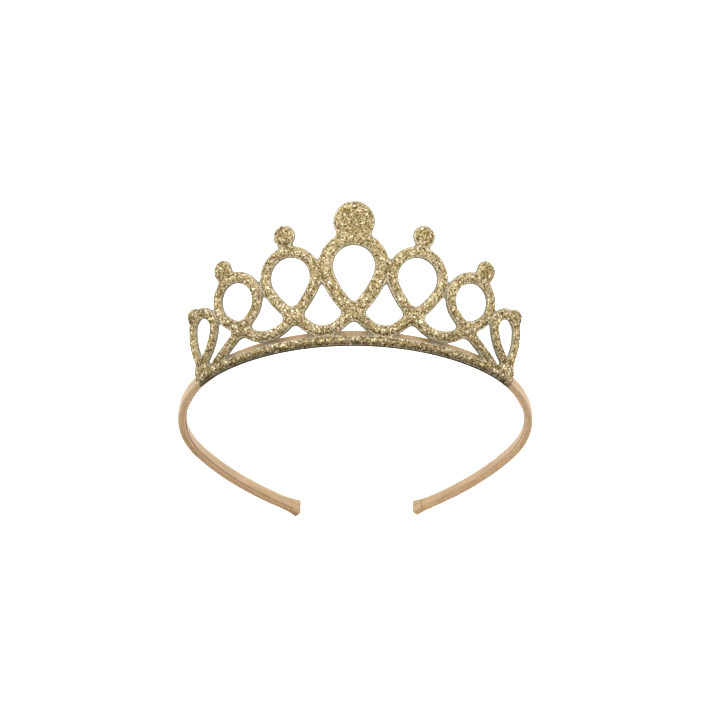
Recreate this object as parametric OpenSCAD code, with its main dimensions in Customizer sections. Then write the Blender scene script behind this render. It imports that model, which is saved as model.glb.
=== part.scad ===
// Tiara headband: a sprung band bound in satin ribbon, with a padded glitter
// tiara of seven open loops glued round its front.
// Frame: band flat over the XY plane, front at -Y, +Z up, and the origin on the
// surface it stands on, under the middle of its box.

/* [Band] */
// Radius of the band's front bow, to the middle of the strip
front_r = 68.5; // [64:0.5:74]
// Half angle of the front bow
front_half_angle = 66; // [62:1:70]
// Radius of the shoulders, to the middle of the strip
shoulder_r = 64.5; // [58:0.5:70]
// Angle at which a shoulder runs out into its arm
shoulder_end_angle = 113; // [108:1:118]
// Radius of the long curve of each arm
arm_r = 153; // [140:1:170]
// Length of each arm past its shoulder
arm_l = 65.5; // [55:0.5:72]
// Height of the sprung strip
core_h = 3.8; // [3.4:0.1:4.2]
// Thickness of the sprung strip
core_t = 2.2; // [1.8:0.1:2.6]
// Thickness of the satin ribbon round the strip
ribbon_t = 0.4; // [0.3:0.05:0.5]
// Height of the ribbon's lower edge above the surface the tiara stands on
band_z = 2.1; // [1.6:0.1:2.4]
// Length of the ribbon folded over each tip
tab_l = 5; // [4:0.5:8]
// How far each folded tip stands proud of the ribbon, all round
tab_proud = 0.45; // [0.3:0.05:0.6]

/* [Tiara] */
// Radius of the tiara's back face at its lower edge
tiara_r = 69.5; // [69.3:0.1:70]
// Outward lean of the tiara
flare = 20; // [16:1:24]
// Half angle that the base bar spans
bar_half_angle = 56; // [54:1:58]
// Width of the base bar
bar_w = 4.2; // [4:0.1:5]
// Width of each glitter strand
strand_w = 4.4; // [4:0.1:4.6]
// Height up the slope at which each loop's two legs cross
cross_v = 12.6; // [12:0.1:13.5]
// Thickness of the felt backing
backing_t = 0.5; // [0.4:0.05:0.6]
// Thickness of the foam padding
padding_t = 1.0; // [0.8:0.1:1.6]
// Thickness of the glitter sheet
face_t = 0.4; // [0.3:0.05:0.5]
// Width of the flat welded rim round the padding
rim_w = 0.6; // [0.5:0.05:0.8]

/* [Hidden] */
$fn = 96;

satin = "#c9a878";
plastic = "#e9e2d2";
gold = "#c2a25a";
felt = "#d8c69a";
foam = "#f3efe2";
glue = "#efe9d8";

// Assembly gap between glued layers, and running gap in the flex joint
layer_gap = 0.04;
joint_gap = 0.05;
// Radius of the upright round that the arms turn on
knuckle_r = core_t / 2 - 0.1;
// Chamfers along the strip, the ribbon and the folded tips
strip_chamfer = 0.5;
ribbon_chamfer = 0.9;
tab_chamfer = 1.1;
// Where the strip and the ribbon stop short of the flex joint's axis
core_stop = 0.5;
ribbon_stop = 0.6;

band_h = core_h + 2 * ribbon_t;
band_t = core_t + 2 * ribbon_t;

// Centres of the band's arcs, on the right-hand side
function polar(r, a) = [r * sin(a), -r * cos(a)];
shoulder_c = polar(front_r - shoulder_r, front_half_angle);
arm_root = shoulder_c + polar(shoulder_r, shoulder_end_angle);
arm_c = shoulder_c + polar(shoulder_r - arm_r, shoulder_end_angle);
arm_sweep = arm_l / arm_r * 180 / PI;
tip_angle = shoulder_end_angle + arm_sweep;
flex_axis = polar(front_r, front_half_angle);

// Angle that a length covers at a radius
function turn(length, r) = length / r * 180 / PI;

// Layers of the tiara, as distances out from its back face
padding_in = backing_t + layer_gap;
padding_out = padding_in + padding_t;
face_in = padding_out + layer_gap;
face_out = face_in + face_t;
hw = strand_w / 2;
// Radius of the flat pattern's base arc
pattern_r = tiara_r / sin(flare);

// Loops, from the middle out: [azimuth, centreline radius, angle where the round
// top runs into the legs, angle of the legs at the crossing]
loops = [[0, 10.2, 20, 50], [17.1, 9.5, 30, 50], [33.7, 8.8, 50, 57]];
// Beads on top of the loops: [azimuth, height up the slope, radius]
beads = [[0, 46.2, 7.1], [17.6, 42.7, 4.2], [36.3, 36.3, 4.1], [50.3, 25.5, 3.2]];
// Hanging arcs between loops: [azimuth, half the span in azimuth, lowest height]
arcs = [[8.55, 8.55, 6.1], [25.4, 8.3, 7.4]];
arc_angle = 50;
// End loop: [azimuth, offset along the arc, height of its round top's centre, tilt,
// centreline radius, angle where the top runs into the legs, angle of the legs]
end_loop = [48.9, -1.6, 18.8, 27.7, 5.9, 0, 47];
// Distance from the end loop's centre down to where its legs would cross
end_loop_drop = 13.1;
// Leg from the outer crossing down to the base: angle from vertical and length
end_leg = [59.5, 20.5];
// Foot under the end loop: [azimuth, height, radius]
foot = [52.6, 4.6, 4.3];

// Moves the bow's centre back so that the origin is under the middle of the box
tab_out = arm_r + band_t / 2 + tab_proud;
back_y = arm_c[1] + polar(tab_out, tip_angle)[1];
crown_v = beads[0][1] + beads[0][2];
front_y = -tiara_r - crown_v * sin(flare) - face_out * cos(flare);
middle_y = -(front_y + back_y) / 2;

// A strip section with chamfered corners, lying on the arc of radius r about Z
module section(r, t, h, chamfer) {
    x = t / 2;
    y = h / 2;
    c = chamfer;
    polygon([[r + x - c, -y], [r + x, -y + c], [r + x, y - c], [r + x - c, y],
        [r - x + c, y], [r - x, y - c], [r - x, -y + c], [r - x + c, -y]]);
}

// An arc of band between two angles, measured from the front (-Y) towards +X
module band_arc(centre, r, from, to, t, h, chamfer) {
    translate([centre[0], centre[1], band_z + band_h / 2])
    rotate([0, 0, from - 90])
    rotate_extrude(angle = to - from)
    section(r, t, h, chamfer);
}

module front_band(stop, t, h, chamfer) {
    half = front_half_angle - turn(stop, front_r);
    band_arc([0, 0], front_r, -half, half, t, h, chamfer);
}

// Right arm, starting a little past the flex axis and ending short of the tip. It
// is set out from the plane where the shoulder runs into the arm's long curve.
module arm_band(stop, tip_stop, t, h, chamfer) {
    shoulder_sweep = shoulder_end_angle - front_half_angle - turn(stop, shoulder_r);
    translate([arm_root[0], arm_root[1], band_z + band_h / 2])
    rotate([0, 0, shoulder_end_angle - 90])
    union() {
        translate([-shoulder_r, 0, 0])
        mirror([0, 1, 0])
        rotate_extrude(angle = shoulder_sweep)
        section(shoulder_r, t, h, chamfer);
        translate([-arm_r, 0, 0])
        rotate_extrude(angle = arm_sweep - turn(tip_stop, arm_r))
        section(arm_r, t, h, chamfer);
    }
}

// Places a finished piece in the headband's own frame
module in_frame() {
    translate([0, middle_y, 0]) children();
}

module mirror_x() {
    mirror([1, 0, 0]) children();
}

// Upright round at the flex axis
module knuckle(r, h) {
    translate([flex_axis[0], flex_axis[1], band_z + band_h / 2])
    cylinder(r = r, h = h, center = true);
}

module band_core() {
    color(plastic)
    in_frame()
    difference() {
        front_band(core_stop, core_t, core_h, strip_chamfer);
        knuckle(knuckle_r + joint_gap, band_h + 2);
        mirror_x() knuckle(knuckle_r + joint_gap, band_h + 2);
    }
}

module arm_core() {
    color(plastic)
    union() {
        arm_band(0, 1, core_t, core_h, strip_chamfer);
        knuckle(knuckle_r, core_h - 2 * strip_chamfer);
    }
}
module right_arm_core() { in_frame() arm_core(); }
module left_arm_core() { in_frame() mirror_x() arm_core(); }

module front_ribbon() {
    color(satin)
    in_frame()
    difference() {
        front_band(ribbon_stop, band_t, band_h, ribbon_chamfer);
        front_band(0, core_t + 2 * layer_gap, core_h + 2 * layer_gap, strip_chamfer);
    }
}

module arm_ribbon() {
    color(satin)
    difference() {
        arm_band(ribbon_stop, tab_l, band_t, band_h, ribbon_chamfer);
        arm_band(0, 0, core_t + 2 * layer_gap, core_h + 2 * layer_gap, strip_chamfer);
    }
}
module right_arm_ribbon() { in_frame() arm_ribbon(); }
module left_arm_ribbon() { in_frame() mirror_x() arm_ribbon(); }

// Ribbon folded over the tip: a closed cap round the end of the strip
module end_tab() {
    start = tip_angle - turn(tab_l - layer_gap, arm_r);
    inner_end = tip_angle - turn(1 - layer_gap, arm_r);
    color(satin)
    difference() {
        band_arc(arm_c, arm_r, start, tip_angle,
            band_t + 2 * tab_proud, band_h + 2 * tab_proud, tab_chamfer);
        band_arc(arm_c, arm_r, start - 1, inner_end,
            core_t + 2 * layer_gap, core_h + 2 * layer_gap, strip_chamfer);
    }
}
module right_end_tab() { in_frame() end_tab(); }
module left_end_tab() { in_frame() mirror_x() end_tab(); }

// A round plate as a many-sided outline, finer as it gets larger
module disc(r) {
    n = max(24, 4 * round(r * 1.4));
    polygon([for (i = [0 : n - 1])
        [r * cos((i + 0.5) * 360 / n), r * sin((i + 0.5) * 360 / n)]]);
}

// Outline of a teardrop loop whose legs cross at height cross_at, grown by o: a
// round top of radius r that runs at the angle run into two long leg arcs
function teardrop(r, run, legs, cross_at, o) =
    let (
        leg_r = r * cos(run) / (cos(run) - cos(legs)),
        top = cross_at + r * sin(run) + leg_r * (sin(legs) - sin(run)),
        cx = (leg_r - r) * cos(run),
        cy = top + (leg_r - r) * sin(run),
        tip = -acos(cx / (leg_r + o)),
        leg_steps = 7,
        top_steps = 26,
        leg = [for (i = [0 : leg_steps - 1])
            let (a = tip + (-run - tip) * i / leg_steps)
            [(leg_r + o) * cos(a) - cx, cy + (leg_r + o) * sin(a)]],
        round_top = [for (i = [0 : top_steps])
            let (a = -run + (180 + 2 * run) * i / top_steps)
            [(r + o) * cos(a), top + (r + o) * sin(a)]]
    )
    concat(leg, round_top, [for (i = [leg_steps - 1 : -1 : 1]) [-leg[i][0], leg[i][1]]]);

module loop_strand(r, run, legs, cross_at, half_w) {
    difference() {
        polygon(teardrop(r, run, legs, cross_at, half_w));
        polygon(teardrop(r, run, legs, cross_at, -half_w));
    }
}

// Edge of an arc that hangs between two crossings, a distance o outside its middle
function hanging_edge(half_span, low, o) =
    let (
        dx = (pattern_r + cross_v) * sin(half_span * sin(flare)),
        dy = cross_v - low,
        r = (dx * cos(arc_angle) - dy * sin(arc_angle)) / (1 - sin(arc_angle)),
        leg = (dy - r * (1 - sin(arc_angle))) / cos(arc_angle) + 1,
        open = 90 - arc_angle,
        steps = 10,
        bend = [for (i = [0 : steps])
            let (a = -open + 2 * open * i / steps)
            [(r + o) * sin(a), low + r - (r + o) * cos(a)]],
        rise = [leg * sin(arc_angle), leg * cos(arc_angle)]
    )
    concat([[bend[0][0] - rise[0], bend[0][1] + rise[1]]], bend,
        [[bend[steps][0] + rise[0], bend[steps][1] + rise[1]]]);

module hanging_arc(half_span, low, half_w) {
    inner = hanging_edge(half_span, low, -half_w);
    count = len(inner);
    polygon(concat(hanging_edge(half_span, low, half_w),
        [for (i = [count - 1 : -1 : 0]) inner[i]]));
}

// Stands a flat outline on the tiara's slope at an azimuth
module on_slope(azimuth) {
    depth = 5;
    rotate([0, 0, azimuth])
    translate([0, -tiara_r, 0])
    rotate([90 + flare, 0, 0])
    translate([0, 0, -depth])
    linear_extrude(height = 2 * depth)
    children();
}

// One side's strands and beads; inset narrows them all round
module pattern_side(inset) {
    half_w = hw - inset;
    for (i = [1 : len(loops) - 1])
        on_slope(loops[i][0])
        loop_strand(loops[i][1], loops[i][2], loops[i][3], cross_v, half_w);
    for (a = arcs)
        on_slope(a[0])
        hanging_arc(a[1], a[2], half_w);
    for (i = [1 : len(beads) - 1])
        on_slope(beads[i][0])
        translate([0, beads[i][1]]) disc(beads[i][2] - inset);
    on_slope(loops[2][0])
        translate([0, cross_v])
        rotate(180 + end_leg[0])
        translate([-half_w, -hw])
        square([2 * half_w, end_leg[1]]);
    on_slope(end_loop[0])
        translate([end_loop[1], end_loop[2]])
        rotate(end_loop[3])
        loop_strand(end_loop[4], end_loop[5], end_loop[6], -end_loop_drop, half_w);
    on_slope(foot[0])
        translate([0, foot[1]]) disc(foot[2] - inset);
}

module pattern(inset) {
    on_slope(loops[0][0])
        loop_strand(loops[0][1], loops[0][2], loops[0][3], cross_v, hw - inset);
    on_slope(0)
        translate([0, beads[0][1]]) disc(beads[0][2] - inset);
    pattern_side(inset);
    mirror_x() pattern_side(inset);
}

// Conical sheet between two distances from the back face, to a height
module sheet(inner, outer, low, high, half_angle) {
    lean = tan(flare);
    rotate([0, 0, -90 - half_angle])
    rotate_extrude(angle = 2 * half_angle)
    polygon([
        [tiara_r + inner / cos(flare) + low * lean, low],
        [tiara_r + outer / cos(flare) + low * lean, low],
        [tiara_r + outer / cos(flare) + high * lean, high],
        [tiara_r + inner / cos(flare) + high * lean, high]
    ]);
}

// A wedge that cuts the base bar out of the sheet
module bar_wedge(inset) {
    half = bar_half_angle - turn(inset, tiara_r);
    reach = 2 * tiara_r;
    below = 1;
    translate([0, 0, -below])
    linear_extrude(height = below + (bar_w - inset) * cos(flare))
    polygon([[0, 0], polar(reach, -half), [0, -reach], polar(reach, half)]);
}

// The tiara's shape in a layer: the strands and the base bar, cut from the sheet
module tiara_layer(inner, outer, inset) {
    full_h = 52;
    intersection() {
        sheet(inner, outer, inset, full_h, bar_half_angle + 6);
        union() {
            pattern(inset);
            bar_wedge(inset);
        }
    }
}

module tiara_backing() {
    color(felt)
    in_frame() tiara_layer(0, backing_t, 0);
}

module tiara_padding() {
    color(foam)
    in_frame() tiara_layer(padding_in, padding_out, rim_w + face_t);
}

module tiara_face() {
    color(gold)
    in_frame() tiara_layer(face_in, face_out, 0);
}

// Hot-melt wedge between the upright band and the leaning tiara
module tiara_glue() {
    setback = 0.6;
    low = band_z + ribbon_chamfer;
    high = bar_w * cos(flare) - setback;
    band_face = front_r + band_t / 2 + layer_gap;
    lean = tan(flare);
    color(glue)
    in_frame()
    rotate([0, 0, -90 - bar_half_angle + 1])
    rotate_extrude(angle = 2 * (bar_half_angle - 1))
    polygon([[band_face, low], [tiara_r + low * lean - layer_gap, low],
        [tiara_r + high * lean - layer_gap, high], [band_face, high]]);
}

band_core();
left_arm_core();
right_arm_core();
front_ribbon();
left_arm_ribbon();
right_arm_ribbon();
left_end_tab();
right_end_tab();
tiara_backing();
tiara_padding();
tiara_face();
tiara_glue();
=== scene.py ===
"""Looks of the tiara headband: a satin-bound sprung band and a padded glitter tiara.

Lengths are in millimetres in the row frame until a mesh or a lamp is made, which is in metres.
"""

import math

import bpy
import numpy as np
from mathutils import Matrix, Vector


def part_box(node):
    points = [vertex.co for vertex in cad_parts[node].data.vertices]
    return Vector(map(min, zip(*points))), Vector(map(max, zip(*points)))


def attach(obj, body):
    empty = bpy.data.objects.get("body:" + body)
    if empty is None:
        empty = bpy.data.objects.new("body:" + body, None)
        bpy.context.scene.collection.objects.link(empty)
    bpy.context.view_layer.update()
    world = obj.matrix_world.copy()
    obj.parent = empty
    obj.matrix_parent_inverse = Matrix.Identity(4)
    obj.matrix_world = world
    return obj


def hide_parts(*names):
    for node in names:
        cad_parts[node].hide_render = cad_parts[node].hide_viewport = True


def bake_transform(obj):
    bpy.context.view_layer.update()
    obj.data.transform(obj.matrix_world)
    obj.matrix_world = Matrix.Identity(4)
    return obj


MM = 0.001
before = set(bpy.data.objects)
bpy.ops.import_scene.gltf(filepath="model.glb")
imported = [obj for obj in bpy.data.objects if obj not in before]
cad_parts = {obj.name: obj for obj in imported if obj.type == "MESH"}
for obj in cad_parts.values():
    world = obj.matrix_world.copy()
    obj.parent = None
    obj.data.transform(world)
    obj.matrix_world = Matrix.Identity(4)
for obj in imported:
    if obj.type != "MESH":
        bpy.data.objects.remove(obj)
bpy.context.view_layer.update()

# The band's centre line: front bow, shoulder and arm (radius, angle where it ends)
FRONT_R, FRONT_END = 68.5, 66
SHOULDER_R, SHOULDER_END = 64.5, 113
ARM_R, ARM_L = 153, 65.5
BAND_T, BAND_H = 3.0, 4.6
# The ribbon laps over itself on the inner face, and its free edge is the seam
BAND_CORNER, LAP = 1.0, 2.0
RIBBON_W = LAP + 2 * math.pi * BAND_CORNER + 2 * (BAND_T + BAND_H - 4 * BAND_CORNER)
BAND_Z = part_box("front_ribbon")[0].z / MM + BAND_H / 2
MIDDLE_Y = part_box("front_ribbon")[0].y / MM + FRONT_R + BAND_T / 2
FRONT_L = FRONT_R * math.radians(FRONT_END)
SHOULDER_L = SHOULDER_R * math.radians(SHOULDER_END - FRONT_END)
SIDE_L = FRONT_L + SHOULDER_L + ARM_L
TAB_L = 5

# The tiara's cone and its strands, as in the CAD model
TIARA_R, FLARE = 69.5, math.radians(20)
STRAND_W, BAR_W, BAR_END = 4.4, 4.2, 56
CROSS_V = 12.6
LOOPS = [(0, 10.2, 20, 50), (17.1, 9.5, 30, 50), (33.7, 8.8, 50, 57)]
BEADS = [(0, 46.2, 7.1), (17.6, 42.7, 4.2), (36.3, 36.3, 4.1), (50.3, 25.5, 3.2)]
ARCS = [(8.55, 8.55, 6.1), (25.4, 8.3, 7.4)]
ARC_ANGLE = math.radians(50)
END_LOOP = {
    "azimuth": 48.9, "x": -1.6, "v": 18.8, "tilt": 27.7,
    "r": 5.9, "run": 0, "legs": 47, "drop": 13.1}
END_LEG = {"azimuth": 33.7, "angle": 59.5, "length": 20.5}
FOOT = (52.6, 4.6, 4.3)

# Layers of the tiara, out from the felt's back: how thick they are, how far the sheet is set in
# from the felt's edge, its welded rim, and how far out the rim and the padded middle stand
FELT_T, SHEET_T, LAYER_GAP = 0.5, 0.35, 0.04
EDGE_STEP, RIM_W = 0.34, 0.42
RIM_N, PUFF_N = FELT_T + LAYER_GAP + SHEET_T, 1.98
# Width of the fillets where strands meet, and where the tiara's lower edge is trimmed
FILLET, BASE_TRIM = 2.0, 0.2
# How far the ribbon stops short of the tip, inside the folded end
TIP_STOP = 0.6
# The camera's distance, and how far below the band's middle it looks
CAMERA_DISTANCE, AIM_DROP = 700, 2.2
# Half the floor's width, far enough for its edge to be out of sight
FLOOR_HALF = 9000
# The folded tip's end is rounded over this far, in so many rings
TIP_ROUND, TIP_RINGS = 0.3, 6


# ---------------------------------------------------------------- mesh helpers

def make_piece(name, points, faces, materials, face_materials=None, smooth=True):
    """A mesh object from points in millimetres."""
    mesh = bpy.data.meshes.new(name)
    mesh.from_pydata((np.asarray(points) * MM).tolist(), [], faces)
    for material in materials:
        mesh.materials.append(material)
    if face_materials is not None:
        mesh.polygons.foreach_set("material_index", np.asarray(face_materials, np.int32))
    mesh.polygons.foreach_set("use_smooth", np.full(len(mesh.polygons), smooth))
    mesh.update()
    piece = bpy.data.objects.new(name, mesh)
    bpy.context.scene.collection.objects.link(piece)
    return piece


def waves(coordinates, size, seed, count=12):
    """Smooth seeded ripples over coordinates, about -1 to 1, with bumps about size apart."""
    rng = np.random.default_rng(seed)
    total = np.zeros(len(coordinates))
    for _ in range(count):
        direction = rng.normal(size=coordinates.shape[1])
        direction /= np.linalg.norm(direction)
        pitch = size * rng.uniform(0.7, 1.6)
        total += np.sin(coordinates @ direction * 2 * math.pi / pitch + rng.uniform(0, 2 * math.pi))
    return total / math.sqrt(count)


def smoothstep(low, high, x):
    t = np.clip((x - low) / (high - low), 0, 1)
    return t * t * (3 - 2 * t)


# ---------------------------------------------------------------- materials

def new_material(name, **sockets):
    """A material with its Principled shader, whose constants are set on its own sockets."""
    material = bpy.data.materials.new(name)
    material.use_nodes = True
    shader = material.node_tree.nodes["Principled BSDF"]
    for socket, value in sockets.items():
        shader.inputs[socket.replace("_", " ")].default_value = value
    return material, material.node_tree, shader


def texture(tree, kind, scale, detail=3.0, stretch=(1, 1, 1), source="Object"):
    """A procedural texture in object or UV coordinates, in which one unit is a metre."""
    coordinates = tree.nodes.new("ShaderNodeTexCoord")
    mapping = tree.nodes.new("ShaderNodeMapping")
    mapping.inputs["Scale"].default_value = stretch
    node = tree.nodes.new(kind)
    node.inputs["Scale"].default_value = scale
    if "Detail" in node.inputs:
        node.inputs["Detail"].default_value = detail
    tree.links.new(coordinates.outputs[source], mapping.inputs["Vector"])
    tree.links.new(mapping.outputs["Vector"], node.inputs["Vector"])
    return node


def ramp(tree, value, stops):
    node = tree.nodes.new("ShaderNodeValToRGB")
    while len(node.color_ramp.elements) < len(stops):
        node.color_ramp.elements.new(0.5)
    for element, (place, colour) in zip(node.color_ramp.elements, stops):
        element.position = place
        element.color = (*colour, 1)
    tree.links.new(value, node.inputs["Fac"])
    return node.outputs["Color"]


def mix(tree, kind, factor, a, b):
    node = tree.nodes.new("ShaderNodeMix")
    node.data_type = "RGBA"
    node.blend_type = kind
    node.inputs["Factor"].default_value = factor
    tree.links.new(a, node.inputs["A"])
    tree.links.new(b, node.inputs["B"])
    return node.outputs["Result"]


def add_bump(tree, shader, height, strength, distance_mm, below=None):
    bump = tree.nodes.new("ShaderNodeBump")
    bump.inputs["Strength"].default_value = strength
    bump.inputs["Distance"].default_value = distance_mm * MM
    tree.links.new(height, bump.inputs["Height"])
    if below is not None:
        tree.links.new(below.outputs["Normal"], bump.inputs["Normal"])
    tree.links.new(bump.outputs["Normal"], shader.inputs["Normal"])
    return bump


def satin_material(name, streaks, seam):
    """Beige-gold satin: floats of thread along the ribbon, lengthwise streaks of its own tones and
    of painted sheen, and fine creases. seam gives painted shade, painted highlight and greyish
    painted reflection across the ribbon's width, face by face, from its hidden edge to its lapped one."""
    material, tree, shader = new_material(
        name, Roughness=0.5, Anisotropic=0.45, Sheen_Weight=0.25, Sheen_Roughness=0.4)
    shader.inputs["Sheen Tint"].default_value = (1.0, 0.90, 0.80, 1)
    tangent = tree.nodes.new("ShaderNodeTangent")
    tangent.direction_type = "UV_MAP"
    tangent.uv_map = "ribbon"
    tree.links.new(tangent.outputs["Tangent"], shader.inputs["Tangent"])
    # Lengthwise streaks of the ribbon's own tones and of painted sheen
    long_streaks = texture(tree, "ShaderNodeTexNoise", 1.0, 4.0, (60, 900, 1), "UV")
    tones = ramp(tree, long_streaks.outputs["Fac"], streaks)
    mottle = texture(tree, "ShaderNodeTexNoise", 130.0, 3.0)
    shade = ramp(tree, mottle.outputs["Fac"], [(0.3, (0.86, 0.85, 0.83)), (0.7, (1, 1, 1))])
    cloth = mix(tree, "MULTIPLY", 1.0, tones, shade)
    width = tree.nodes.new("ShaderNodeTexCoord")
    split = tree.nodes.new("ShaderNodeSeparateXYZ")
    tree.links.new(width.outputs["UV"], split.inputs["Vector"])
    scaled = tree.nodes.new("ShaderNodeMath")
    scaled.operation = "MULTIPLY"
    scaled.inputs[1].default_value = 1 / (RIBBON_W * MM)
    tree.links.new(split.outputs["Y"], scaled.inputs[0])
    # Painted shade, highlight and greyish reflection across the ribbon's width, by face and at the seam
    across = ramp(tree, scaled.outputs["Value"], seam)
    tree.links.new(mix(tree, "MULTIPLY", 1.0, cloth, across), shader.inputs["Base Color"])
    threads = texture(tree, "ShaderNodeTexNoise", 1.0, 2.0, (500, 7000, 1), "UV")
    creases = texture(tree, "ShaderNodeTexNoise", 1.0, 3.0, (420, 260, 1), "UV")
    fine = add_bump(tree, shader, threads.outputs["Fac"], 0.2, 0.015)
    add_bump(tree, shader, creases.outputs["Fac"], 0.25, 0.06, fine)
    return material


def flake_material(name, colour, roughness):
    """One tint of metallised glitter film, a little uneven from grain to grain."""
    material, tree, shader = new_material(name, Metallic=0.8, Roughness=roughness, Specular_IOR_Level=0.6)
    grain = texture(tree, "ShaderNodeTexNoise", 1500.0, 1.0)
    low = tuple(0.72 * c for c in colour)
    high = tuple(min(1.0, 1.2 * c) for c in colour)
    tint = ramp(tree, grain.outputs["Fac"], [(0.35, low), (0.65, high)])
    tree.links.new(tint, shader.inputs["Base Color"])
    return material


def glitter_ground_material():
    """The glued ground between the grains: fine glitter dust over gold film."""
    material, tree, shader = new_material("glitter_ground", Metallic=0.45, Roughness=0.5)
    dust = texture(tree, "ShaderNodeTexVoronoi", 2600.0)
    tint = ramp(tree, dust.outputs["Color"], [
        (0.15, (0.10, 0.068, 0.018)), (0.45, (0.21, 0.15, 0.055)),
        (0.7, (0.34, 0.255, 0.12)), (0.95, (0.55, 0.46, 0.27))])
    tree.links.new(tint, shader.inputs["Base Color"])
    add_bump(tree, shader, dust.outputs["Distance"], 0.7, 0.12)
    return material


def rim_material():
    """The welded rim: the sheet pressed flat, so its glitter is finer and paler."""
    material, tree, shader = new_material("welded_rim", Metallic=0.35, Roughness=0.45)
    dust = texture(tree, "ShaderNodeTexVoronoi", 3200.0)
    tint = ramp(tree, dust.outputs["Color"], [
        (0.2, (0.19, 0.15, 0.08)), (0.55, (0.36, 0.30, 0.19)), (0.9, (0.52, 0.46, 0.33))])
    tree.links.new(tint, shader.inputs["Base Color"])
    add_bump(tree, shader, dust.outputs["Distance"], 0.4, 0.06)
    return material


def felt_material(name, dark, light):
    """Thin pressed felt with crossing fibres and a slight nap."""
    material, tree, shader = new_material(name, Roughness=0.95, Sheen_Weight=0.4, Sheen_Roughness=0.6)
    fibres = texture(tree, "ShaderNodeTexNoise", 2400.0, 4.0, (1, 0.25, 1))
    cloudy = texture(tree, "ShaderNodeTexNoise", 260.0, 3.0)
    tone = ramp(tree, fibres.outputs["Fac"], [(0.3, dark), (0.7, light)])
    shade = ramp(tree, cloudy.outputs["Fac"], [(0.3, (0.85, 0.85, 0.85)), (0.7, (1, 1, 1))])
    tree.links.new(mix(tree, "MULTIPLY", 1.0, tone, shade), shader.inputs["Base Color"])
    add_bump(tree, shader, fibres.outputs["Fac"], 0.6, 0.12)
    return material


def wadding_material():
    material, tree, shader = new_material("wadding", Roughness=0.9, Subsurface_Weight=0.2)
    lumps = texture(tree, "ShaderNodeTexNoise", 1800.0, 4.0)
    tone = ramp(tree, lumps.outputs["Fac"], [(0.3, (0.66, 0.62, 0.54)), (0.7, (0.86, 0.83, 0.76))])
    tree.links.new(tone, shader.inputs["Base Color"])
    add_bump(tree, shader, lumps.outputs["Fac"], 0.7, 0.2)
    return material


def plastic_material():
    """Moulded springy strip with faint flow lines."""
    material, tree, shader = new_material("band_plastic", Roughness=0.42)
    flow = texture(tree, "ShaderNodeTexNoise", 300.0, 4.0, (1, 1, 4))
    tone = ramp(tree, flow.outputs["Fac"], [(0.3, (0.70, 0.65, 0.54)), (0.7, (0.80, 0.76, 0.66))])
    tree.links.new(tone, shader.inputs["Base Color"])
    add_bump(tree, shader, flow.outputs["Fac"], 0.2, 0.05)
    return material


def glue_material():
    """Cloudy hot-melt glue with drawn strings and small bubbles."""
    material, tree, shader = new_material(
        "hot_melt", Roughness=0.28, Subsurface_Weight=0.5, Transmission_Weight=0.15)
    shader.inputs["Subsurface Radius"].default_value = (0.002, 0.0018, 0.0014)
    clouds = texture(tree, "ShaderNodeTexNoise", 500.0, 4.0)
    tone = ramp(tree, clouds.outputs["Fac"], [(0.3, (0.66, 0.60, 0.47)), (0.7, (0.82, 0.78, 0.67))])
    tree.links.new(tone, shader.inputs["Base Color"])
    add_bump(tree, shader, clouds.outputs["Fac"], 0.5, 0.3)
    return material


# ---------------------------------------------------------------- the satin-bound band

def centre_line(s):
    """Points and outward normals of the right side's centre line at lengths s from the front."""
    front = np.minimum(s, FRONT_L) / FRONT_R
    shoulder = np.clip(s - FRONT_L, 0, SHOULDER_L) / SHOULDER_R
    arm = np.maximum(s - FRONT_L - SHOULDER_L, 0) / ARM_R
    angle = front + shoulder + arm
    normal = np.stack([np.sin(angle), -np.cos(angle)], 1)
    front_turn, shoulder_turn = math.radians(FRONT_END), math.radians(SHOULDER_END)
    shoulder_c = (FRONT_R - SHOULDER_R) * np.array([math.sin(front_turn), -math.cos(front_turn)])
    arm_c = shoulder_c + (SHOULDER_R - ARM_R) * np.array([math.sin(shoulder_turn), -math.cos(shoulder_turn)])
    radius = np.where(s <= FRONT_L, FRONT_R, np.where(s <= FRONT_L + SHOULDER_L, SHOULDER_R, ARM_R))
    centre = np.where((s <= FRONT_L)[:, None], [0, 0], np.where(
        (s <= FRONT_L + SHOULDER_L)[:, None], shoulder_c, arm_c))
    return centre + radius[:, None] * normal + [0, MIDDLE_Y], normal


def section(half_t, half_h, corner, walk):
    """A strip's rounded section, as out and up, at lengths round it from the seam line, which is
    the lower end of the inner face's flat part. It runs under the strip first."""
    arc = corner * math.pi / 2
    flat_t, flat_h = 2 * (half_t - corner), 2 * (half_h - corner)
    girth = 4 * arc + 2 * (flat_t + flat_h)
    points = []
    for g in walk:
        g = (g + flat_h) % girth
        at, turn = np.array([-half_t, half_h - corner]), math.pi
        for flat, step in ((flat_h, (0, -1)), (flat_t, (1, 0)), (flat_h, (0, 1)), (flat_t, (-1, 0))):
            if g <= flat:
                at = at + g * np.array(step)
                break
            g -= flat
            at = at + flat * np.array(step)
            end = turn + min(g, arc) / corner
            at = at + corner * np.array([math.cos(end) - math.cos(turn), math.sin(end) - math.sin(turn)])
            if g <= arc:
                break
            g -= arc
            turn += math.pi / 2
        points.append(at)
    return np.array(points)


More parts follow.
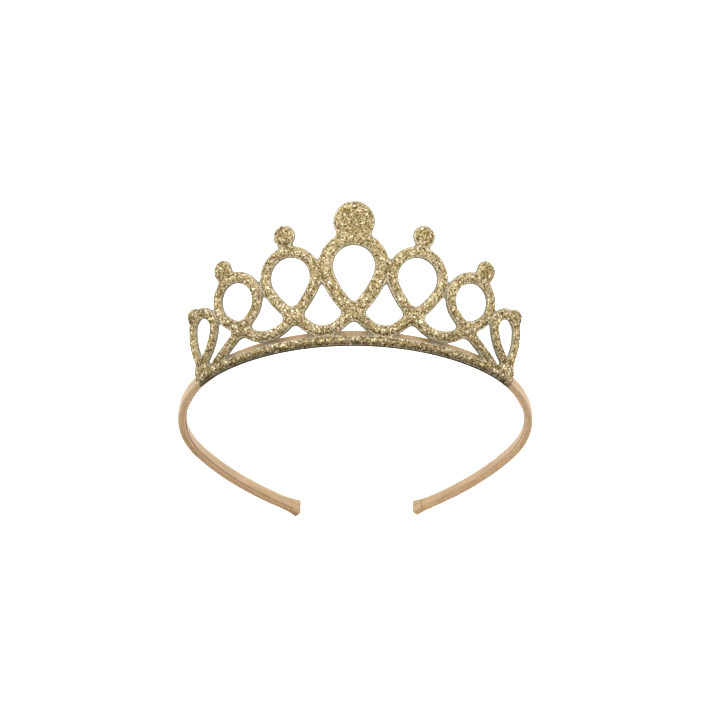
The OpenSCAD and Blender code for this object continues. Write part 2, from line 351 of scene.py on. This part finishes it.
def sweep(name, side, s, walk, outline, offsets, material, capped=False):
    """A strip of sections along one side of the band, open along its length. outline is
    (rings, points, 2), out and up. A capped one closes its last ring with a fan. The left arm's
    ribbon is wound a little fuller and hangs a little lower than the right one's."""
    centres, normals = centre_line(s)
    rings, count = outline.shape[:2]
    grown = outline * (1 + offsets[..., None] / np.linalg.norm(outline, axis=2, keepdims=True))
    arm = smoothstep(FRONT_L, FRONT_L + 40, s)[:, None]
    fuller, lower = (1.02, 0) if side > 0 else (1.15, 0.35)
    grown[..., 1] = grown[..., 1] * (1 + (fuller - 1) * arm) - lower * arm
    points = np.zeros((rings, count, 3))
    points[..., :2] = centres[:, None, :] + grown[..., :1] * normals[:, None, :]
    points[..., 2] = BAND_Z + grown[..., 1]
    points[..., 0] *= side
    flat = points.reshape(-1, 3)
    faces, uvs = [], []
    for i in range(rings - 1):
        for j in range(count - 1):
            ring = [(i, j), (i, j + 1), (i + 1, j + 1), (i + 1, j)]
            if side < 0:
                ring.reverse()
            faces.append([a * count + b for a, b in ring])
            uvs.extend((s[a] * MM, (walk[b] + LAP) * MM) for a, b in ring)
    if capped:
        last = (rings - 1) * count
        flat = np.vstack([flat, flat[last:].mean(axis=0)])
        for j in range(count - 1):
            fan = [last + j, last + j + 1, len(flat) - 1]
            faces.append(fan if side > 0 else fan[::-1])
            uvs.extend([(s[-1] * MM, (walk[j] + LAP) * MM)] * 3)
    piece = make_piece(name, flat, faces, [material])
    layer = piece.data.uv_layers.new(name="ribbon")
    layer.data.foreach_set("uv", np.array(uvs, np.float32).ravel())
    return piece


def ribbon_offsets(s, walk, girth, lap_rise, wrinkle, seed):
    """How far the ribbon stands off a plain section: its lap, soft creases and slack."""
    along, round_it = np.meshgrid(s, walk, indexing="ij")
    flat = np.stack([along.ravel(), round_it.ravel()], 1)
    shown = smoothstep(25, 60, along) * smoothstep(0, 1.5, round_it)
    creases = waves(flat * [0.35, 1.0], 3.2, seed).reshape(along.shape)
    diagonal = waves(flat @ np.array([[0.55, 0.2], [0.75, 0.3]]), 1.5, seed + 1).reshape(along.shape)
    patches = smoothstep(-0.2, 0.9, waves(flat * [0.06, 0.1], 2.0, seed + 2).reshape(along.shape))
    slack = 0.13 * smoothstep(0, 4, round_it)
    lap = lap_rise * smoothstep(girth - LAP - 1.2, girth - LAP, round_it)
    loose = 0.05 * smoothstep(girth - 0.7, girth, round_it) * np.sin(along / 3.1)
    return 0.02 + slack + lap + loose + shown * (0.025 * creases + wrinkle * patches * diagonal)


def make_ribbon(side, name, material, seed):
    """One half of the band's binding, from the middle of the front to the folded tip: a flat
    ribbon wrapped once round the strip and lapped over itself."""
    s = np.linspace(0, SIDE_L - TIP_STOP, 430)
    girth = RIBBON_W - LAP
    walk = np.linspace(-LAP, girth, 66)
    outline = section(BAND_T / 2, BAND_H / 2, BAND_CORNER, walk)
    swell = 1 + 0.10 * smoothstep(SIDE_L - 11, SIDE_L - 4, s)
    rings = outline[None] * np.stack([np.ones_like(s), swell], 1)[:, None, :]
    lap_rise, wrinkle = (0.08, 0.055) if side > 0 else (0.17, 0.03)
    offsets = ribbon_offsets(s, walk, girth, lap_rise, wrinkle, seed)
    return sweep(name, side, s, walk, rings, offsets, material)


def make_tip(side, name, material, seed):
    """The ribbon's end, folded over the tip: it flares and ends in a soft flat edge."""
    girth = RIBBON_W - LAP
    walk = np.linspace(0, girth, 61)
    outline = section(BAND_T / 2, BAND_H / 2, BAND_CORNER, walk)
    start = SIDE_L - TAB_L
    s = np.concatenate([[start + 0.25, start], np.linspace(start + 0.1, SIDE_L - TIP_ROUND, 22),
        SIDE_L - TIP_ROUND + TIP_ROUND * np.sin(np.linspace(0.2, math.pi / 2, TIP_RINGS))])
    share = np.clip((s - start) / TAB_L, 0, 1)
    high = 1.12 + 0.24 * smoothstep(0, 0.95, share)
    thick = 1.25 + 0.10 * share
    high[0], thick[0] = 1.08, 1.16
    round_off = TIP_ROUND * (1 - np.cos(np.linspace(0.2, math.pi / 2, TIP_RINGS)))
    high[-TIP_RINGS:] -= round_off / (BAND_H / 2)
    thick[-TIP_RINGS:] -= round_off / (BAND_T / 2)
    rings = outline[None] * np.stack([thick, high], 1)[:, None, :]
    along, round_it = np.meshgrid(s, walk, indexing="ij")
    flat = np.stack([along.ravel(), round_it.ravel()], 1)
    tucks = 0.09 * waves(flat * [0.5, 1.0], 2.2, seed).reshape(along.shape)
    tucks[:, -1] = tucks[:, 0]
    return sweep(name, side, s, walk, rings, tucks * share[:, None], material, capped=True)


# ---------------------------------------------------------------- the tiara's outline

def on_tangent(azimuth, angle, v):
    """Where a point of the cone, at angle round it and v up its slope, lies on the plane that
    touches the cone at azimuth: along the plane and up it."""
    delta = angle - math.radians(azimuth)
    x = (TIARA_R + v * math.sin(FLARE)) * np.sin(delta)
    y = v * (math.cos(FLARE) ** 2 + math.sin(FLARE) ** 2 * np.cos(delta))
    return x, y - TIARA_R * math.sin(FLARE) * (1 - np.cos(delta))


def arc_distance(x, y, centre, radius, start, end):
    """Distance to an arc that runs anticlockwise from start to end, in radians."""
    dx, dy = x - centre[0], y - centre[1]
    middle, half = (start + end) / 2, (end - start) / 2
    turn = np.abs((np.arctan2(dy, dx) - middle + math.pi) % (2 * math.pi) - math.pi)
    ends = [np.hypot(dx - radius * math.cos(a), dy - radius * math.sin(a)) for a in (start, end)]
    return np.where(turn <= half, np.abs(np.hypot(dx, dy) - radius), np.minimum(*ends))


def line_distance(x, y, start, end):
    (ax, ay), (bx, by) = start, end
    t = ((x - ax) * (bx - ax) + (y - ay) * (by - ay)) / ((bx - ax) ** 2 + (by - ay) ** 2)
    t = np.clip(t, 0, 1)
    return np.hypot(x - ax - t * (bx - ax), y - ay - t * (by - ay))


def teardrop_distance(x, y, r, run_deg, legs_deg, cross_at):
    """Distance to a loop's middle line: a round top whose two leg arcs cross at height cross_at."""
    run, legs = math.radians(run_deg), math.radians(legs_deg)
    leg_r = r * math.cos(run) / (math.cos(run) - math.cos(legs))
    top = cross_at + r * math.sin(run) + leg_r * (math.sin(legs) - math.sin(run))
    cx, cy = (leg_r - r) * math.cos(run), top + (leg_r - r) * math.sin(run)
    tip = -math.acos(cx / leg_r)
    right = arc_distance(x, y, (-cx, cy), leg_r, tip, -run)
    left = arc_distance(-x, y, (-cx, cy), leg_r, tip, -run)
    round_top = arc_distance(x, y, (0, top), r, -run, math.pi + run)
    return np.minimum(np.minimum(right, left), round_top)


def hanging_distance(x, y, half_span, low):
    """Distance to an arc that hangs between two crossings, straight at both ends."""
    reach = TIARA_R / math.sin(FLARE) + CROSS_V
    dx, dy = reach * math.sin(math.radians(half_span) * math.sin(FLARE)), CROSS_V - low
    sin_a, cos_a = math.sin(ARC_ANGLE), math.cos(ARC_ANGLE)
    r = (dx * cos_a - dy * sin_a) / (1 - sin_a)
    leg = (dy - r * (1 - sin_a)) / cos_a + 1
    spread = math.pi / 2 - ARC_ANGLE
    bend = arc_distance(x, y, (0, low + r), r, -math.pi / 2 - spread, -math.pi / 2 + spread)
    ax, ay = r * math.sin(spread), low + r - r * math.cos(spread)
    straight = line_distance(np.abs(x), y, (ax, ay), (ax + leg * sin_a, ay + leg * cos_a))
    return np.minimum(bend, straight)


def end_loop_distance(x, y):
    tilt = math.radians(END_LOOP["tilt"])
    dx, dy = x - END_LOOP["x"], y - END_LOOP["v"]
    across = dx * math.cos(tilt) + dy * math.sin(tilt)
    up = dy * math.cos(tilt) - dx * math.sin(tilt)
    return teardrop_distance(across, up, END_LOOP["r"], END_LOOP["run"], END_LOOP["legs"], -END_LOOP["drop"])


def smooth_union(a, b, blend):
    """The union of two distance fields, with fillets where they meet."""
    h = np.maximum(blend - np.abs(a - b), 0) / blend
    return np.minimum(a, b) - h * h * blend / 4


def outline_field(angle, v):
    """Signed distance to the tiara's outline in millimetres, below zero inside it."""
    half = STRAND_W / 2
    arc = np.abs(angle) * TIARA_R - math.radians(BAR_END) * TIARA_R
    field = np.maximum(np.abs(v - BAR_W / 2) - BAR_W / 2, arc)
    for side in (1, -1):
        mirrored = side * angle
        strands = []
        for azimuth, r, run, legs in LOOPS:
            strands.append(teardrop_distance(*on_tangent(azimuth, mirrored, v), r, run, legs, CROSS_V) - half)
        for azimuth, half_span, low in ARCS:
            strands.append(hanging_distance(*on_tangent(azimuth, mirrored, v), half_span, low) - half)
        x, y = on_tangent(END_LEG["azimuth"], mirrored, v)
        slant = math.radians(END_LEG["angle"])
        foot = (END_LEG["length"] * math.sin(slant), CROSS_V - END_LEG["length"] * math.cos(slant))
        strands.append(line_distance(x, y, (0, CROSS_V), foot) - half)
        strands.append(end_loop_distance(*on_tangent(END_LOOP["azimuth"], mirrored, v)) - half)
        for azimuth, height, r in [*BEADS, FOOT]:
            x, y = on_tangent(azimuth, mirrored, v)
            strands.append(np.hypot(x, y - height) - r)
        near = np.cos(mirrored - math.radians(25)) > 0.5
        for strand in strands:
            field = smooth_union(field, np.where(near, strand, 99), FILLET)
    return np.maximum(field, BASE_TRIM - v)


def bead_dome(angle, v):
    """Extra height over the middle of each bead."""
    dome = np.zeros_like(angle)
    for side in (1, -1):
        for azimuth, height, r in BEADS:
            x, y = on_tangent(azimuth, side * angle, v)
            inside = np.clip(1 - (x ** 2 + (y - height) ** 2) / (0.8 * r) ** 2, 0, 1)
            dome = np.maximum(dome, 0.05 * r * inside)
    return dome


def puff(angle, v, field):
    """Distance of the glitter sheet's face from the felt's back: flat rim, then padded."""
    depth = -field - EDGE_STEP - RIM_W
    rise = np.clip(depth / (STRAND_W / 2 - EDGE_STEP - RIM_W), 0, 1)
    lumps = waves(np.stack([angle * TIARA_R, v], 1), 9.0, 5)
    body = 1 - (1 - rise) ** 2.2
    return RIM_N + (PUFF_N - RIM_N + bead_dome(angle, v) + 0.06 * lumps) * body


def on_cone(angle, v, out):
    """Row-frame points, in millimetres, of the tiara's slope."""
    radius = TIARA_R + v * math.sin(FLARE) + out * math.cos(FLARE)
    height = v * math.cos(FLARE) - out * math.sin(FLARE)
    return np.stack([radius * np.sin(angle), MIDDLE_Y - radius * np.cos(angle), height], 1)


def snapped_grid(step, inset):
    """A grid of angles and heights over the whole slope, its distances and its triangles. Grid
    points near the outline are moved onto it."""
    end = math.radians(BAR_END + 6)
    columns, rows = int(2 * end * 76 / step), int(56 / step)
    angle, v = np.meshgrid(np.linspace(-end, end, columns), np.linspace(-1.5, 54.5, rows), indexing="ij")
    da, dv = angle[1, 0] - angle[0, 0], v[0, 1] - v[0, 0]
    field = outline_field(angle.ravel(), v.ravel()).reshape(angle.shape) + inset
    slope_a, slope_v = np.gradient(field, da, dv)
    radius = TIARA_R + v * math.sin(FLARE)
    steep = np.maximum((slope_a / radius) ** 2 + slope_v ** 2, 0.25)
    near = np.abs(field) < 0.34 * step
    angle = np.where(near, angle - field * slope_a / radius ** 2 / steep, angle).ravel()
    v = np.where(near, v - field * slope_v / steep, v).ravel()
    field = np.where(near, 0, field).ravel()
    index = np.arange(columns * rows).reshape(columns, rows)
    a, b = index[:-1, :-1].ravel(), index[1:, :-1].ravel()
    c, d = index[1:, 1:].ravel(), index[:-1, 1:].ravel()
    triangles = np.concatenate([np.stack([a, b, c], 1), np.stack([a, c, d], 1)])
    return angle, v, field, triangles


def clipped_grid(step, inset):
    """The outline's inside as angles, heights and triangles. Triangles that the outline crosses
    are cut along it."""
    angle, v, field, triangles = snapped_grid(step, inset)
    inside = field <= 0
    count = inside[triangles].sum(axis=1)
    touching = (field[triangles] < 0).any(axis=1)
    kept = [triangles[(count == 3) & touching]]
    cut_pairs, pieces = [], []
    for wanted, lone_inside in ((1, True), (2, False)):
        part = triangles[(count == wanted) & touching]
        lone = np.argmax(inside[part] == lone_inside, axis=1)
        turned = np.stack([part[np.arange(len(part)), (lone + k) % 3] for k in range(3)], 1)
        cut_pairs += [turned[:, [0, 1]], turned[:, [0, 2]]]
        pieces.append(turned)
    pairs = np.sort(np.concatenate(cut_pairs), axis=1)
    unique, where = np.unique(pairs, axis=0, return_inverse=True)
    where = where.ravel() + len(field)
    low, high = unique[:, 0], unique[:, 1]
    share = field[low] / (field[low] - field[high])
    angle = np.concatenate([angle, angle[low] + share * (angle[high] - angle[low])])
    v = np.concatenate([v, v[low] + share * (v[high] - v[low])])
    one, two = len(pieces[0]), len(pieces[1])
    cuts = np.split(where, np.cumsum([one, one, two]))
    kept.append(np.stack([pieces[0][:, 0], cuts[0], cuts[1]], 1))
    kept.append(np.stack([cuts[2], pieces[1][:, 1], pieces[1][:, 2]], 1))
    kept.append(np.stack([cuts[2], pieces[1][:, 2], cuts[3]], 1))
    triangles = np.concatenate(kept)
    distinct = (triangles[:, 0] != triangles[:, 1]) & (triangles[:, 1] != triangles[:, 2])
    triangles = triangles[distinct & (triangles[:, 0] != triangles[:, 2])]
    used, renumbered = np.unique(triangles, return_inverse=True)
    return angle[used], v[used], renumbered.reshape(-1, 3)


def border_edges(triangles):
    """The edges that only one triangle has, in its direction."""
    edges = np.concatenate([triangles[:, [0, 1]], triangles[:, [1, 2]], triangles[:, [2, 0]]])
    _, first, uses = np.unique(np.sort(edges, axis=1), axis=0, return_index=True, return_counts=True)
    return edges[first[uses == 1]]


def make_layer(name, step, inset, inner, outer, materials, pick=None):
    """A closed layer of the tiara between two heights over the slope, each a function."""
    angle, v, triangles = clipped_grid(step, inset)
    field = outline_field(angle, v)
    points = np.vstack([on_cone(angle, v, outer(angle, v, field)), on_cone(angle, v, inner(angle, v, field))])
    half, border = len(angle), border_edges(triangles)
    walls = np.stack([border[:, 0], border[:, 0] + half, border[:, 1] + half, border[:, 1]], 1)
    faces = triangles.tolist() + (triangles[:, ::-1] + half).tolist() + walls.tolist()
    slots = np.zeros(len(faces), int)
    if pick is not None:
        slots[:len(triangles)] = pick(field[triangles].mean(axis=1))
        slots[len(triangles):2 * len(triangles)] = len(materials) - 2
        slots[2 * len(triangles):] = len(materials) - 1
    return make_piece(name, points, faces, materials, slots)


def scatter_flakes(name, seed, tries, sizes, depths, lift, tilt, tints, weights):
    """Hexagonal glitter grains strewn over the sheet, each its own real face. They are browner
    on the beads."""
    rng = np.random.default_rng(seed)
    angle = rng.uniform(-1, 1, tries) * math.radians(BAR_END + 5)
    v = rng.uniform(0, 54, tries)
    field = outline_field(angle, v)
    kept = (-field > depths[0]) & (-field < depths[1])
    angle, v, field = angle[kept], v[kept], field[kept]
    small = 0.05
    here = on_cone(angle, v, puff(angle, v, field))
    turned = angle + small / TIARA_R
    along = on_cone(turned, v, puff(turned, v, outline_field(turned, v))) - here
    up = on_cone(angle, v + small, puff(angle, v + small, outline_field(angle, v + small))) - here
    normal = np.cross(along, up)
    normal /= np.linalg.norm(normal, axis=1, keepdims=True)
    tipped = normal + rng.normal(scale=tilt, size=normal.shape)
    tipped /= np.linalg.norm(tipped, axis=1, keepdims=True)
    across = np.cross(tipped, rng.normal(size=normal.shape))
    across /= np.linalg.norm(across, axis=1, keepdims=True)
    other = np.cross(tipped, across)
    count = len(angle)
    radius = rng.uniform(*sizes, count) / 2
    middle = here + normal * rng.uniform(*lift, count)[:, None]
    corners = [middle + radius[:, None] * (math.cos(t) * across + math.sin(t) * other)
        for t in np.arange(6) * math.pi / 3]
    points = np.stack(corners, 1).reshape(-1, 3)
    faces = np.arange(6 * count).reshape(-1, 6).tolist()
    tint = rng.choice(len(tints), size=count, p=weights)
    browner = rng.choice(len(tints), size=count, p=[0.36, 0.32, 0.18, 0.09, 0.05])
    tint = np.where(bead_dome(angle, v) > 0, browner, tint)
    return make_piece(name, points, faces, tints, tint, smooth=False)


# ---------------------------------------------------------------- pieces

def dress_hard_parts():
    """The CAD parts that stay as they are get their materials."""
    plastic = plastic_material()
    for node in ("band_core", "left_arm_core", "right_arm_core"):
        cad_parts[node].data.materials.clear()
        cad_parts[node].data.materials.append(plastic)
    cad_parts["tiara_glue"].data.materials.clear()
    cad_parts["tiara_glue"].data.materials.append(glue_material())


def satin_pair():
    """The satin of each side, by side. Their seams differ: the left one's lap is crisper, with a
    darker painted shadow past the seam and a pinkish painted highlight after it.
    """
    # The ribbon's tones, from its shade to its pinkish painted highlight: own colour and painted sheen
    tones = [
        (0.28, (0.37, 0.252, 0.115)), (0.45, (0.47, 0.325, 0.162)),
        (0.6, (0.515, 0.32, 0.182)), (0.78, (0.56, 0.415, 0.23))]
    # Painted shade and greyish reflection after the seam: under face, outer face, top and inner face
    painted_face_shades = [
        (0.24, (1, 0.98, 0.97)), (0.33, (0.84, 0.87, 0.92)), (0.42, (0.86, 0.86, 0.86)),
        (0.70, (0.86, 0.86, 0.86)), (0.78, (0.72, 0.76, 0.83)), (0.85, (0.80, 0.80, 0.80))]
    # Painted shadow just past the seam, where the lap's edge shades the ribbon, then a pinkish painted
    # highlight
    left_seam_painted_shade = [(0.128, (0.60, 0.52, 0.46)), (0.146, (0.70, 0.62, 0.56)), (0.165, (1, 0.92, 0.92))]
    # Painted shade greying the lap's free edge
    left_lap_painted_shade = [(0.975, (0.79, 0.78, 0.77)), (0.995, (0.72, 0.68, 0.65))]
    right_seam_painted_shade = [(0.128, (0.84, 0.78, 0.72)), (0.146, (0.90, 0.85, 0.80)), (0.165, (1, 0.96, 0.95))]
    right_lap_painted_shade = [(0.975, (0.79, 0.78, 0.78)), (0.995, (0.77, 0.75, 0.73))]
    return {
        -1: satin_material("satin_left", tones, left_seam_painted_shade + painted_face_shades + left_lap_painted_shade),
        1: satin_material("satin_right", tones, right_seam_painted_shade + painted_face_shades + right_lap_painted_shade)}


def add_binding(side, arm, satin, seed):
    """One half of the satin binding, which bends at the shoulder, and its folded tip."""
    name = arm.replace("_arm", "")
    ribbon = make_ribbon(side, f"{name}_satin_binding", satin, seed)
    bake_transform(ribbon)
    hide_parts("front_ribbon", f"{arm}_ribbon")
    tip = make_tip(side, f"{name}_folded_tip", satin, seed + 7)
    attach(tip, arm)
    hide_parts(f"{name}_end_tab")


def make_backing():
    """The felt, flat on the cone, coloured darker along its outline and on its edge walls."""
    felt = felt_material("felt", (0.44, 0.36, 0.22), (0.60, 0.52, 0.35))
    # A darker felt colour along the outline, where the felt shows round the sheet, and on its walls
    felt_dark_outline = felt_material("felt_darker_outline", (0.19, 0.16, 0.09), (0.30, 0.255, 0.16))
    backing = make_layer(
        "tiara_felt_backing", 0.5, 0, lambda a, v, f: 0 * a, lambda a, v, f: FELT_T + 0 * a,
        [felt, felt, felt_dark_outline], lambda f: np.where(f > -EDGE_STEP - 0.15, 2, 0))
    return backing, felt


def make_wadding():
    """The padding, between the felt and the glitter sheet and inside the welded rim."""
    return make_layer(
        "tiara_wadding", 0.5, EDGE_STEP + RIM_W + 0.1, lambda a, v, f: FELT_T + LAYER_GAP + 0 * a,
        lambda a, v, f: np.maximum(puff(a, v, f) - SHEET_T - 0.03, FELT_T + 0.08), [wadding_material()])


def make_sheet(felt):
    """The glitter sheet, pressed flat at its rim and raised over the wadding."""
    ground, rim = glitter_ground_material(), rim_material()
    return make_layer(
        "tiara_glitter_sheet", 0.36, EDGE_STEP, lambda a, v, f: puff(a, v, f) - SHEET_T, puff,
        [ground, rim, felt, rim], lambda f: np.where(f > -EDGE_STEP - RIM_W, 1, 0))


def flake_tints():
    return [
        flake_material("glitter_brown", (0.15, 0.10, 0.028), 0.38),
        flake_material("glitter_olive", (0.28, 0.21, 0.075), 0.36),
        flake_material("glitter_champagne", (0.43, 0.335, 0.165), 0.34),
        flake_material("glitter_pale", (0.74, 0.66, 0.46), 0.3),
        flake_material("glitter_rose", (0.50, 0.34, 0.23), 0.34)]


def add_tiara():
    """The tiara's three layers and the grains on its sheet."""
    backing, felt = make_backing()
    wadding = make_wadding()
    sheet = make_sheet(felt)
    tints = flake_tints()
    coarse = scatter_flakes(
        "tiara_coarse_glitter", 3, 62000, (0.55, 0.95), (EDGE_STEP + RIM_W - 0.12, 99),
        (0.02, 0.16), 0.26, tints, [0.2, 0.27, 0.27, 0.17, 0.09])
    fine = scatter_flakes(
        "tiara_rim_glitter", 4, 90000, (0.25, 0.42), (EDGE_STEP + 0.06, EDGE_STEP + RIM_W),
        (0.01, 0.05), 0.16, tints, [0.1, 0.22, 0.36, 0.24, 0.08])
    for piece, node, material_slot in (
            (backing, "tiara_backing", "felt"), (wadding, "tiara_padding", "foam"),
            (sheet, "tiara_face", "glitter"), (coarse, None, "glitter"), (fine, None, "glitter")):
        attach(piece, "headband")
        if node:
            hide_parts(node)


# ---------------------------------------------------------------- stage, light and camera

def add_area(name, place, size, power, aim=(0, 0, 0.02)):
    lamp = bpy.data.lights.new(name, "AREA")
    lamp.energy, lamp.size = power, size
    holder = bpy.data.objects.new(name, lamp)
    holder.location = place
    holder.rotation_euler = (Vector(place) - Vector(aim)).to_track_quat("Z", "Y").to_euler()
    bpy.context.scene.collection.objects.link(holder)


def make_floor():
    """A pale floor, seen from above only, so that a camera below it still sees the object."""
    material, tree, shader = new_material("pale_floor", Roughness=0.8)
    speckle = texture(tree, "ShaderNodeTexNoise", 40.0, 3.0)
    tone = ramp(tree, speckle.outputs["Fac"], [(0.3, (0.80, 0.80, 0.79)), (0.7, (0.84, 0.84, 0.83))])
    tree.links.new(tone, shader.inputs["Base Color"])
    side_seen = tree.nodes.new("ShaderNodeNewGeometry")
    clear = tree.nodes.new("ShaderNodeBsdfTransparent")
    choose = tree.nodes.new("ShaderNodeMixShader")
    tree.links.new(side_seen.outputs["Backfacing"], choose.inputs["Fac"])
    tree.links.new(shader.outputs["BSDF"], choose.inputs[1])
    tree.links.new(clear.outputs["BSDF"], choose.inputs[2])
    tree.links.new(choose.outputs["Shader"], tree.nodes["Material Output"].inputs["Surface"])
    corners = [(x * FLOOR_HALF, y * FLOOR_HALF, 0) for x, y in ((-1, -1), (1, -1), (1, 1), (-1, 1))]
    floor = make_piece("floor", corners, [(0, 1, 2, 3)], [material], smooth=False)


def make_world():
    """White all round, a little dimmer and patchy below, so that the glitter has things to mirror."""
    world = bpy.data.worlds.new("studio")
    bpy.context.scene.world = world
    world.use_nodes = True
    tree = world.node_tree
    background = tree.nodes["Background"]
    coordinates = tree.nodes.new("ShaderNodeTexCoord")
    patches = tree.nodes.new("ShaderNodeTexNoise")
    patches.inputs["Scale"].default_value = 3.0
    tree.links.new(coordinates.outputs["Generated"], patches.inputs["Vector"])
    split = tree.nodes.new("ShaderNodeSeparateXYZ")
    tree.links.new(coordinates.outputs["Generated"], split.inputs["Vector"])
    dim = ramp(tree, patches.outputs["Fac"], [(0.42, (0.40, 0.40, 0.40)), (0.58, (1, 1, 1))])
    raised = tree.nodes.new("ShaderNodeMath")
    raised.operation = "ADD"
    raised.inputs[1].default_value = 0.2
    tree.links.new(split.outputs["Z"], raised.inputs[0])
    upper = ramp(tree, raised.outputs["Value"], [(0.0, (0, 0, 0)), (0.14, (1, 1, 1))])
    tree.links.new(mix(tree, "ADD", 1.0, dim, upper), background.inputs["Color"])
    background.inputs["Strength"].default_value = 1.0


def set_camera():
    """Below the band and in front of it, almost square to the tiara's slope."""
    azimuth, elevation, roll = math.radians(0.7), math.radians(-27.5), math.radians(-0.5)
    back = Vector((
        math.sin(azimuth) * math.cos(elevation), -math.cos(azimuth) * math.cos(elevation),
        math.sin(elevation)))
    camera = bpy.data.objects.new("camera", bpy.data.cameras.new("camera"))
    bpy.context.scene.collection.objects.link(camera)
    bpy.context.scene.camera = camera
    aim = Vector((0, MIDDLE_Y, BAND_Z - AIM_DROP)) * MM
    camera.location = aim + back * CAMERA_DISTANCE * MM
    camera.rotation_euler = (-back).to_track_quat("-Z", "Y").to_matrix().to_4x4().to_euler()
    camera.rotation_euler.rotate_axis("Z", -roll)
    camera.data.lens = 88.55
    camera.data.sensor_width = 36
    camera.data.shift_x, camera.data.shift_y = 0.0067, 0.0979
    camera.data.clip_start = 0.01


dress_hard_parts()
satins = satin_pair()
for side, arm, seed in ((1, "right_arm", 11), (-1, "left_arm", 41)):
    add_binding(side, arm, satins[side], seed)
add_tiara()
make_floor()
make_world()
add_area("key", (-0.5, -0.9, 0.9), 0.6, 3)
add_area("fill", (0.7, -0.9, 0.3), 0.7, 1.4)
add_area("low_front", (-0.1, -1.2, 0.16), 0.3, 1.3)
bpy.context.scene.view_settings.view_transform = "Standard"
set_camera()
